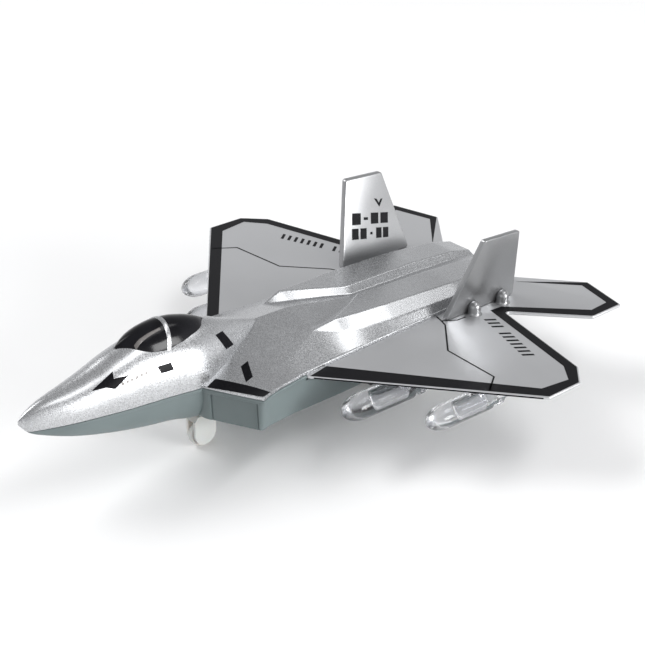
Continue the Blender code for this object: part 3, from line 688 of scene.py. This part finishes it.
def canopy_solid(name, grow, sill, look=None):
    """The canopy's bubble over a sill at that height, grown outwards by grow."""
    rings = []
    steps = 40
    front, rear = CANOPY[0][0] - grow, CANOPY[-1][0] + grow
    for share in np.linspace(0, 1, 48):
        y = front + (rear - front) * (0.5 - 0.5 * math.cos(math.pi * share))
        half, top = smooth(CANOPY, y, 1) + grow, smooth(CANOPY, y, 2) + grow
        ring = []
        for step in range(steps + 1):
            angle = math.pi * step / steps
            ring.append((half * math.cos(angle), y, DECK + sill + (top - sill) * math.sin(angle)))
        rings.append(ring)
    return loft(name, rings, look)


def upper_shell(look):
    """The painted casting: forebody and shoulders joined, with a pocket for the canopy."""
    shell = forebody_solid()
    boolean(shell, shoulder_solid(), "UNION")
    boolean(shell, seam_slab(0.08, -20.0, 0.04), "DIFFERENCE")
    boolean(shell, canopy_solid("pocket", 0.12, CANOPY_FOOT - 1.0), "DIFFERENCE")
    shell.name = shell.data.name = "cast_upper_shell"
    even_normals(finished(shell, look, 28.0))
    return place(shell, "airframe", "silver_paint", "upper_fuselage_shell")


def canopy_band(name, y, lean, width, thick, look):
    """A flat silver band over the glazing, leaning aft, from one side to the other."""
    rings = []
    steps = 40
    section = ((-0.4, -1), (-0.4, 1), (thick * 0.6, 1), (thick, 0.6), (thick, -0.6), (thick * 0.6, -1))
    for step in range(steps + 1):
        angle = math.pi * step / steps
        ring = []
        for reach, side in section:
            half, top = smooth(CANOPY, y, 1) + reach, smooth(CANOPY, y, 2) + reach
            z = CANOPY_FOOT + (top - CANOPY_FOOT) * math.sin(angle)
            along = y + lean * (z - CANOPY_SILL) + side * width / 2
            ring.append((half * math.cos(angle), along, DECK + z))
        rings.append(ring)
    return loft(name, rings, look)


def canopy_height(x, y):
    """Height of the glazing above the deck at x and y."""
    half, top = smooth(CANOPY, y, 1), smooth(CANOPY, y, 2)
    share = min(1.0, abs(x) / half)
    return CANOPY_FOOT + (top - CANOPY_FOOT) * math.sqrt(1.0 - share * share)


def canopy_rib(name, line, look):
    """A slim moulded rib along the glazing, from the front sill up to the arch, through (y, x) places."""
    rings = []
    for y in np.linspace(line[0][0], line[-1][0], 24):
        x = straight(line, y, 1)
        half = 0.34 - 0.012 * (y - line[0][0])
        section = [(-1, -0.25), (1, -0.25), (1, 0.03), (0.5, 0.09), (-0.5, 0.09), (-1, 0.03)]
        across = [(x + half * share, lift) for share, lift in section]
        rings.append([(u, y, DECK + canopy_height(u, y) + lift) for u, lift in across])
    return loft(name, rings, look)


def canopy(looks):
    """Black glazing with a silver arch over it and a slim rib ahead of the arch."""
    glazing = canopy_solid("canopy_bubble", 0.0, CANOPY_FOOT, looks["canopy"])
    place(glazing, "airframe", "canopy_plastic", "canopy_glazing")
    arch = canopy_band("canopy_arch", CANOPY_ARCH_Y, 0.25, 1.15, 0.14, looks["flake"])
    place(arch, "airframe", "silver_paint")
    place(canopy_rib("canopy_rib", CANOPY_RIB, looks["pale"]), "airframe", "silver_paint")


# ---- lower shell

def inset_edge(amount):
    """The edge of the centre body moved inwards, as (y, half width)."""
    lines = []
    for (y0, x0), (y1, x1) in zip(BODY_EDGE, BODY_EDGE[1:]):
        length = math.hypot(y1 - y0, x1 - x0)
        along = ((y1 - y0) / length, (x1 - x0) / length)
        lines.append(((y0 + along[1] * amount, x0 - along[0] * amount), along))
    moved = [lines[0][0]]
    for (start, along), (point, way) in zip(lines, lines[1:]):
        across = along[0] * way[1] - along[1] * way[0]
        gap = (point[0] - start[0], point[1] - start[1])
        reach = (gap[0] * way[1] - gap[1] * way[0]) / across
        moved.append((start[0] + along[0] * reach, start[1] + along[1] * reach))
    return moved + [(BODY_END - amount, BODY_EDGE[-1][1] - amount)]


def body_outline(amount, radius):
    """Half outline of the centre body at x >= 0, with rounded corners, front to back."""
    points = [(x, y) for y, x in inset_edge(amount)]
    closed = [(0.0, points[0][1])] + points + [(0.0, points[-1][1])]
    made = [closed[0]]
    for before, here, after in zip(closed, closed[1:], closed[2:]):
        before, here, after = Vector(before), Vector(here), Vector(after)
        one, two = before - here, after - here
        reach = min(radius, 0.4 * one.length, 0.4 * two.length)
        start, end = here + one.normalized() * reach, here + two.normalized() * reach
        made += [tuple(point) for point in corner_arc(start, here, end, 6)]
    return made + [closed[-1]]


def belly_solid():
    """Intake block and belly: drafted walls under a thin ledge, and a rounded bottom edge."""
    rings = []
    for section, base in ((BELLY_FOOT, lambda y: straight(BELLY, y, 1)), (BELLY_WALL, seam)):
        for amount, lift in section:
            outline = mirrored_open(body_outline(amount, 1.3))
            rings.append([(x, y, DECK + base(y) + lift) for x, y in outline])
    return strip_solid("belly", rings)


def mirrored_open(half):
    """A half outline from x = 0 to x = 0, and its mirror image back to the start."""
    return list(half) + [(-x, y) for x, y in reversed(half[1:-1])]


def strip_solid(name, rings):
    """A skin through rings that are symmetric in x, capped by strips across them."""
    count = len(rings[0])
    points, faces = walls(rings)
    for start in (0, len(points) - count):
        for i in range(count // 2):
            strip = [i, i + 1, (count - i - 1) % count, (count - i) % count]
            faces.append([start + index for index in dict.fromkeys(strip)])
    return add(name, points, faces)


def keel_solid():
    """The lower forebody: a ledge under the seam, then sides that draw in to a narrow flat keel."""
    rings = []
    for y in np.linspace(KEEL_FRONT, -14.0, 90):
        half, keel = smooth(FOREBODY, y, 1), smooth(FOREBODY, y, 3)
        half = max(half, 3.0) if y > BODY_EDGE[0][0] else half
        top = seam(y)
        deep = top - keel
        ledge = min(0.15, 0.05 * deep)
        side = [(half + ledge, top + lift) for lift in (2.0, -0.02, -0.02 - 0.08 * deep)]
        side.append((half, top - 0.03 - 0.1 * deep))
        side += [(half * wide, top - down * deep) for wide, down in KEEL_SIDE]
        side += [(half * 0.52, keel), (half * 0.26, keel)]
        ring = [(x, y, DECK + z) for x, z in side]
        rings.append(ring + [(-x, y, z) for x, y, z in reversed(ring)])
    return loft("keel", rings)


def intake_recess(side):
    """A shallow recess in the intake's front face, between the posts at its ends, open at the belly."""
    start, end = Vector((BODY_EDGE[0][1], BODY_EDGE[0][0])), Vector((BODY_EDGE[1][1], BODY_EDGE[1][0]))
    along = (end - start).normalized()
    inwards = Vector((-along.y, along.x))
    length = (end - start).length
    rings = []
    for z, drift in ((DECK - 14.0, 1.25), (DECK - 0.75, 0.1)):
        shape = [(share, deep if deep < 0 else drift + deep) for share, deep in RECESS]
        ring = [start + along * share * length + inwards * deep for share, deep in shape]
        rings.append([(side * point.x, point.y, z) for point in ring])
    return loft("recess", rings)


def lower_shell(look):
    """The moulded belly and keel, with the intakes' recesses and an open bay round the motor."""
    shell = belly_solid()
    boolean(shell, keel_solid(), "UNION")
    boolean(shell, seam_slab(-0.02, 20.0, -PLATE - 0.05), "DIFFERENCE")
    for side in (1, -1):
        boolean(shell, intake_recess(side), "DIFFERENCE")
    (case_low, case_high), (lid_low, lid_high) = corners("motor_case"), corners("motor_lid")
    gap = 0.3
    bay_low = (case_low.x - gap, lid_low.y - gap, 5.0)
    bay_high = (case_high.x + gap, lid_high.y + gap, 25.0)
    boolean(shell, block("bay", bay_low, bay_high), "DIFFERENCE")
    shell.name = shell.data.name = "moulded_lower_shell"
    even_normals(finished(shell, look, 32.0))
    place(shell, "airframe", "grey_plastic", "lower_fuselage_shell")


# ---- wing plate, prints, fins

def wing_plate(look):
    """The plate, with a rounded top edge and an underside that draws in towards its rim."""
    half_way = DECK - 0.45 * PLATE
    under = DECK - PLATE
    levels = [(1.5, under), (1.4, under + 0.05), (0.06, half_way - 0.06), (0.0, half_way + 0.04)]
    for angle in quarter(4):
        levels.append((RIM_R * (1 - math.cos(angle)), DECK - RIM_R * (1 - math.sin(angle))))
    rings = []
    for amount, z in levels:
        rings.append([(x, y, z) for x, y in rounded(inset(mirrored(WING), amount), WING_CORNER)])
    plate = loft("wing_casting", rings, look)
    place(plate, "airframe", "satin_paint", "wing_plate")


def stroke(points, width):
    """The outline of a line of that width through points, with mitred corners."""
    left, right = [], []
    for i, here in enumerate(points):
        here = Vector(here)
        ways = []
        if i:
            ways.append((here - Vector(points[i - 1])).normalized())
        if i < len(points) - 1:
            ways.append((Vector(points[i + 1]) - here).normalized())
        way = sum(ways, Vector((0, 0))).normalized()
        normal = Vector((-way.y, way.x)) * (width / 2 / max(0.5, way.dot(ways[0])))
        left.append(tuple(here + normal))
        right.append(tuple(here - normal))
    return left + right[::-1]


def deck_print(outline, side, look):
    """A thin film of ink of that outline on the wing plate, on one side of the jet."""
    rings = [[(side * x, y, z) for x, y in outline] for z in (DECK - INK, DECK + INK)]
    return loft("film", rings, look)


def wing_prints(look):
    """The black border, the panel line, the line along each fin's outer foot and the dashes on both wings."""
    films = []
    outer = inset(rounded(mirrored(WING), WING_CORNER), 0.42)
    for side in (1, -1):
        edge = [point for point in outer if point[0] > 15.5 and point[1] > PLATE_FRONT + 2.5]
        slips = (0.0, 0.0) if side > 0 else PRINT_SLIP
        inner_edge = [(x, y - slip) for (x, y), slip in zip(BORDER[:2], slips)] + BORDER[2:]
        band = [(20.3, PLATE_FRONT + 0.5)] + edge + inner_edge[::-1]
        films.append(deck_print(band, side, look))
        films += [deck_print(stroke(line, 0.45), side, look) for line in WING_LINES]
        films += dash_row(side, look)
        films.append(rim_print(side, look))
    place(merged("wing_prints", films), "airframe", "satin_paint")


def rim_print(side, look):
    """Ink on the upright part of the leading edge, below its rounded corner."""
    root, tip = Vector(WING[1]), Vector(WING[2])
    along = (tip - root).normalized()
    outwards = Vector((along.y, -along.x))
    rings = []
    for point in (root + along * 1.5, tip - along * 1.5):
        ring = []
        for reach, z in ((INK, -RIM_R), (INK, -0.45 * PLATE), (-INK, -0.45 * PLATE), (-INK, -RIM_R)):
            spot = point + outwards * reach
            ring.append((side * spot.x, spot.y, DECK + z))
        rings.append(ring)
    return loft("film", rings, look)


def film(quads, side, way, target, look):
    """Thin films of ink laid on a curved piece.

    Each quad is in (x, y) seen from above where way is "Z", or in (y, z) from the side where it is "X".
    """
    target.data.update()
    tree = BVHTree.FromObject(target, bpy.context.evaluated_depsgraph_get())
    films = []
    steps = 12
    for quad in quads:
        fronts, backs = [], []
        for i in range(steps + 1):
            for j in range(steps + 1):
                left = Vector(quad[0]).lerp(Vector(quad[3]), j / steps)
                right = Vector(quad[1]).lerp(Vector(quad[2]), j / steps)
                here = left.lerp(right, i / steps)
                if way == "Z":
                    start, aim = Vector((side * here.x, here.y, DECK + 40.0)), Vector((0, 0, -1))
                else:
                    start, aim = Vector((side * 60.0, here.x, DECK + here.y)), Vector((-side, 0, 0))
                hit, normal, _, _ = tree.ray_cast(start * MM, aim)
                fronts.append(hit / MM + normal * INK)
                backs.append(hit / MM - normal * INK)
        films.append(grid_solid("film", fronts, backs, steps + 1, look))
    return films


def shell_prints(shell, looks):
    """Black marks on the shoulders and forebody and a row of pale dashes, the same on both sides."""
    films = []
    for side in (1, -1):
        films += film(LIP_PRINTS, side, "Z", shell, looks["ink"])
        films += film(SIDE_PRINTS, side, "X", shell, looks["ink"])
        dashes = []
        for k in range(SIDE_DASHES):
            y, z = (start + step * k for start, step in zip(DASH_START, DASH_STEP))
            dashes.append([(y, z), (y + 0.8, z + 0.1), (y + 1.0, z + 0.85), (y + 0.2, z + 0.75)])
        films += film(dashes, side, "X", shell, looks["pale"])
    place(merged("shell_prints", films), "airframe", "silver_paint")


def dash_row(side, look):
    """A row of plain slanted dashes along the trailing edge."""
    start, end = Vector(EDGE_START), Vector(EDGE_END)
    way = (end - start).normalized()
    across = Vector((way.y, -way.x))
    long, tall = way * 0.85, across * 2.9 - way * 0.9
    films = []
    for k in range(EDGE_DASHES):
        if k != EMPTY_DASH:
            corner = start.lerp(end, k / EDGE_DASHES)
            films.append(deck_print([corner, corner + long, corner + long + tall, corner + tall], side, look))
    return films


def fin_place(side):
    """Maps (y, height, offset through the thickness) to a canted fin on that side."""
    lean = (FIN_TOP_X - FIN_X) / FIN_TOP_Z[0]

    def to_row(u, v, w):
        return (side * (FIN_X + lean * v + w), u, DECK + v)
    return to_row


def fin_foot(side, x, y):
    """A domed foot on a fin's outer side, with a small flare at the plate."""
    top, radius = FOOT_HEIGHT, FOOT_RADIUS
    dome = [(0.02, radius + 0.45), (0.12, radius + 0.22), (0.35, radius + 0.05), (0.7, radius)]
    for angle in quarter(9)[:-1]:
        dome.append((top - radius + radius * math.sin(angle), radius * math.cos(angle)))
    dome.append((top, 0.0))
    return turned("foot", dome, (side * x, y, DECK), "Z", sides=40)


def fin(side, word, looks):
    """A canted fin with its feet, and the marks on its inner face."""
    to_row = fin_place(side)
    (front, rear), (top_front, top_rear), base = FIN_ROOT_Y, FIN_TOP_Y, 0.03
    shape = [(front, base), (rear, base), (top_rear, FIN_TOP_Z[1]), (top_front, FIN_TOP_Z[0])]
    half = FIN_THICK / 2
    blade = slab(f"{word}_fin_blade", rounded(shape, 0.9), -half, half, 0.32, to_row, looks["fin"])
    for x, y in FIN_FEET:
        boolean(blade, fin_foot(side, x, y), "UNION")
    place(finished(blade, looks["fin"], 40.0), "airframe", "satin_paint", f"{word}_fin")
    films = []
    for mark in FIN_CHEVRON + fin_bars():
        rings = [[to_row(u, v, w - half) for u, v in mark] for w in (-INK, INK)]
        films.append(loft("film", rings, looks["ink"]))
    place(merged(f"{word}_fin_prints", films), "airframe", "satin_paint")


def fin_bars():
    """Outlines of the bars on a fin, as (y, height). The narrow ones are dashes half way down their row."""
    bars = []
    for row, spans in zip(FIN_ROWS, FIN_SPANS):
        left_top, right_top, right_low, left_low = (Vector(corner) for corner in row)
        for begin, end in spans:
            high, low = (0.38, 0.62) if end - begin < 0.15 else (0.0, 1.0)
            quad = [(begin, high), (end, high), (end, low), (begin, low)]
            bars.append([left_top.lerp(right_top, u).lerp(left_low.lerp(right_low, u), v) for u, v in quad])
    return bars


# ---- stores and nozzles

def blunt_nose(tip, length, radius, steps):
    """Profile of a quarter ellipse from the axis at tip out to that radius, as (place, radius)."""
    curve = [(tip + length * (1 - math.cos(a)), radius * math.sin(a)) for a in quarter(steps)[1:]]
    return [(tip, 0.0)] + curve


def missile(side, word, place_name, look):
    """A clear store: a blunt nose, a long body, a waist with a collar, a short tail and its pylon."""
    x, tip, radius, length = MISSILES[place_name]
    centre = (side * x, 0.0, DECK + MISSILE_Z)
    waist, end = tip + 0.62 * length, tip + length
    profile = blunt_nose(tip, MISSILE_NOSE, radius, 12)
    profile += [(waist + reach, radius * share) for reach, share in WAIST]
    profile += [(end - 0.4, radius * 0.47), (end, radius * 0.38), (end, 0.0)]
    body = turned(f"{word}_{place_name}_store", profile, centre, "Y", look)
    pylon_start, pylon_end = tip + 0.42 * length, tip + 0.9 * length
    pylon_low = (side * x - 1.0, pylon_start, DECK + MISSILE_Z)
    pylon_high = (side * x + 1.0, pylon_end, DECK - PLATE - 0.05)
    boolean(body, block("pylon", pylon_low, pylon_high, 0.25), "UNION")
    hollow = radius * 0.5
    core = blunt_nose(tip + CAVITY_START, hollow, hollow, 6)
    core += [(waist - 2.0, hollow), (waist - 1.6, hollow * 0.8), (waist - 1.6, 0.0)]
    boolean(body, turned("core", core, centre, "Y", None, 32), "DIFFERENCE")
    place(finished(body, look, 30.0), "airframe", "clear_plastic", f"{word}_{place_name}_missile")


def nozzle(side, word, look):
    """A square nozzle with two slanted flaps and a deep mouth."""
    low, high = corners(f"exhaust_nozzle_{word}")
    middle_x, half_x = (low.x + high.x) / 2, (high.x - low.x) / 2
    middle_z, half_z = (low.z + high.z) / 2, (high.z - low.z) / 2
    start, end = BODY_END, high.y
    sections = [
        (start - 0.2, 0.97, 0.93), (start + 2.0, 1.0, 1.0), (end - 0.2, 0.95, 0.86), (end, 0.92, 0.82),
        (end, 0.80, 0.62), (end - 0.3, 0.77, 0.58), (start + 2.2, 0.74, 0.5),
    ]
    rings = []
    for y, grow_x, grow_z in sections:
        a, b = half_x * grow_x, half_z * grow_z
        shape = rounded([(-a, -b), (a, -b), (a, b), (-a, b)], 0.6)
        rings.append([(middle_x + u, y, middle_z + v) for u, v in shape])
    body = loft(f"{word}_nozzle", rings, look)
    place(body, "airframe", "nozzle_plastic", f"exhaust_nozzle_{word}")


# ---- wheels

def roller_profile(start, end, inner, outer, radius):
    """A ring's closed profile from start to end along its axis, with its two outer edges rounded."""
    drops = [(radius * (1 - math.sin(angle)), radius * (1 - math.cos(angle))) for angle in quarter(5)]
    profile = [(start, inner)] + [(start + along, outer - drop) for along, drop in reversed(drops)]
    profile += [(end - along, outer - drop) for along, drop in drops]
    return profile + [(end, inner), (start, inner)]


def nose_wheel(looks):
    """One plain wheel between the cheeks of the fork."""
    low, high = corners("nose_wheel")
    centre = (0, (low.y + high.y) / 2, (low.z + high.z) / 2)
    profile = roller_profile(low.x, high.x, AXLE_BORE, (high.z - low.z) / 2, 0.3)
    wheel = turned("nose_roller", profile, centre, "X", looks["white"], sides=96)
    place(wheel, "nose_wheel_set", "wheel_plastic", "nose_wheel")


def rear_tyres(looks):
    """Rubber tyres with rounded shoulders and two grooves round the tread."""
    for word in ("left", "right"):
        low, high = corners(f"rear_tyre_{word}")
        centre = (0, (low.y + high.y) / 2, (low.z + high.z) / 2)
        outer, width = (high.z - low.z) / 2, high.x - low.x
        profile = [(low.x, TYRE_BORE)]
        profile += [(low.x + width * share, outer - drop) for share, drop in TREAD]
        profile += [(high.x, TYRE_BORE), (low.x, TYRE_BORE)]
        tyre = turned(f"{word}_tyre", profile, centre, "X", looks["rubber"], sides=80)
        place(tyre, "rear_wheels", "tyre_rubber", f"rear_tyre_{word}")


# ---- stage

def area_light(name, position, size, power):
    """A white soft light aimed at the jet."""
    data = bpy.data.lights.new(name, "AREA")
    data.shape = "RECTANGLE"
    data.size, data.size_y = size
    data.energy = power
    light = bpy.data.objects.new(name, data)
    light.location = position
    light.rotation_euler = (Vector(LIGHT_TARGET) - Vector(position)).to_track_quat("-Z", "Y").to_euler()
    bpy.context.scene.collection.objects.link(light)


def pale_floor():
    """A plain pale floor at height 0."""
    mesh = bpy.data.meshes.new("floor")
    reach = 6.0
    corner_points = [(-reach, -reach, 0), (reach, -reach, 0), (reach, reach, 0), (-reach, reach, 0)]
    mesh.from_pydata(corner_points, [], [(0, 1, 2, 3)])
    floor = bpy.data.objects.new("floor", mesh)
    bpy.context.scene.collection.objects.link(floor)
    made = Nodes("pale_floor")
    mesh.materials.append(made.set(Base_Color=(0.93, 0.93, 0.93), Roughness=0.95))


def studio():
    """Soft white light from all round, brighter near the horizon than overhead."""
    world = bpy.data.worlds.new("studio")
    bpy.context.scene.world = world
    world.use_nodes = True
    nodes, links = world.node_tree.nodes, world.node_tree.links
    background = nodes["Background"]
    background.inputs["Color"].default_value = (0.98, 0.985, 1.0, 1.0)
    height = nodes.new("ShaderNodeSeparateXYZ")
    links.new(nodes.new("ShaderNodeTexCoord").outputs["Generated"], height.inputs["Vector"])
    fade = nodes.new("ShaderNodeMapRange")
    links.new(height.outputs["Z"], fade.inputs["Value"])
    for key, value in (("From Min", 0.0), ("From Max", 0.6), ("To Min", 0.96), ("To Max", 0.42)):
        fade.inputs[key].default_value = value
    links.new(fade.outputs["Result"], background.inputs["Strength"])
    bpy.context.scene.view_settings.view_transform = "Standard"
    for name, settings in LIGHTS.items():
        area_light(name, *settings)


def camera():
    """Looks down at the jet's left side from ahead of its nose."""
    azimuth, elevation = math.radians(CAMERA_AZIMUTH), math.radians(CAMERA_ELEVATION)
    level = math.cos(elevation)
    back = Vector((level * math.sin(azimuth), -level * math.cos(azimuth), math.sin(elevation)))
    right = Vector((math.cos(azimuth), math.sin(azimuth), 0.0))
    up = back.cross(right)
    data = bpy.data.cameras.new("camera")
    data.sensor_width = CAMERA_SENSOR
    data.lens = CAMERA_LENS
    made = bpy.data.objects.new("camera", data)
    made.location = CAMERA_PLACE
    made.rotation_mode = "QUATERNION"
    made.rotation_quaternion = Matrix((right, up, back)).transposed().to_quaternion()
    bpy.context.scene.collection.objects.link(made)
    bpy.context.scene.camera = made


def make_looks():
    """Every material, by a short word."""
    plastic = moulded_plastic
    white = ("warm_white_plastic", (0.50, 0.488, 0.465), (0.57, 0.557, 0.53), 0.38)
    black_ink = ((0.002, 0.002, 0.003), (0.006, 0.006, 0.008))
    pale_ink = ((0.12, 0.112, 0.108), (0.17, 0.16, 0.155))
    white_plastic = plastic(*white, Subsurface_Weight=0.1)
    return {
        "flake": flake_paint("silver_flake_paint", (0.44, 0.445, 0.455), (0.62, 0.63, 0.645), 0.9, 0.28),
        "satin": satin_paint("satin_silver_paint", 0.53, 0.75, 0.32),
        "fin": satin_paint("fin_silver_paint", 0.28, 0.82, 0.28),
        "grey": plastic("grey_green_plastic", (0.115, 0.143, 0.145), (0.135, 0.166, 0.168), 0.40),
        "ink": ink("black_print", 2200.0, black_ink, Specular_IOR_Level=0.08),
        "pale": ink("pale_print", 2600.0, pale_ink, Metallic=0.3),
        "canopy": gloss_black(),
        "clear": clear_plastic(),
        "white": white_plastic,
        "gear": plastic("gear_plastic", (0.70, 0.69, 0.65), (0.76, 0.75, 0.71), 0.45),
        "dark": plastic("dark_grey_plastic", (0.05, 0.053, 0.057), (0.07, 0.073, 0.078), 0.45),
        "motor": plastic("black_plastic", (0.02, 0.02, 0.022), (0.032, 0.032, 0.034), 0.5),
        "rubber": rubber(),
        "steel": steel(),
    }


# The look of a CAD node, by its material slot
NODE_LOOKS = {
    "steel": "steel", "wheel_plastic": "white", "tyre_rubber": "rubber", "gear_plastic": "gear",
    "motor_plastic": "motor", "silver_paint": "flake", "satin_paint": "satin", "grey_plastic": "grey",
    "canopy_plastic": "canopy", "nozzle_plastic": "dark", "clear_plastic": "clear",
}


def main():
    """Gives the CAD nodes their materials, and builds the pieces and the stage."""
    looks = make_looks()
    for entry in frame["record"]["subparts"]:
        node = frame["nodes"][entry["node"]]
        node.data.materials.clear()
        node.data.materials.append(looks[NODE_LOOKS[entry["material_slot"]]])
    shell_prints(upper_shell(looks["flake"]), looks)
    lower_shell(looks["grey"])
    canopy(looks)
    wing_plate(looks["satin"])
    wing_prints(looks["ink"])
    for side, word in ((1, "left"), (-1, "right")):
        fin(side, word, looks)
        nozzle(side, word, looks["dark"])
        for place_name in MISSILES:
            missile(side, word, place_name, looks["clear"])
    nose_wheel(looks)
    rear_tyres(looks)
    pale_floor()
    studio()
    camera()


main()
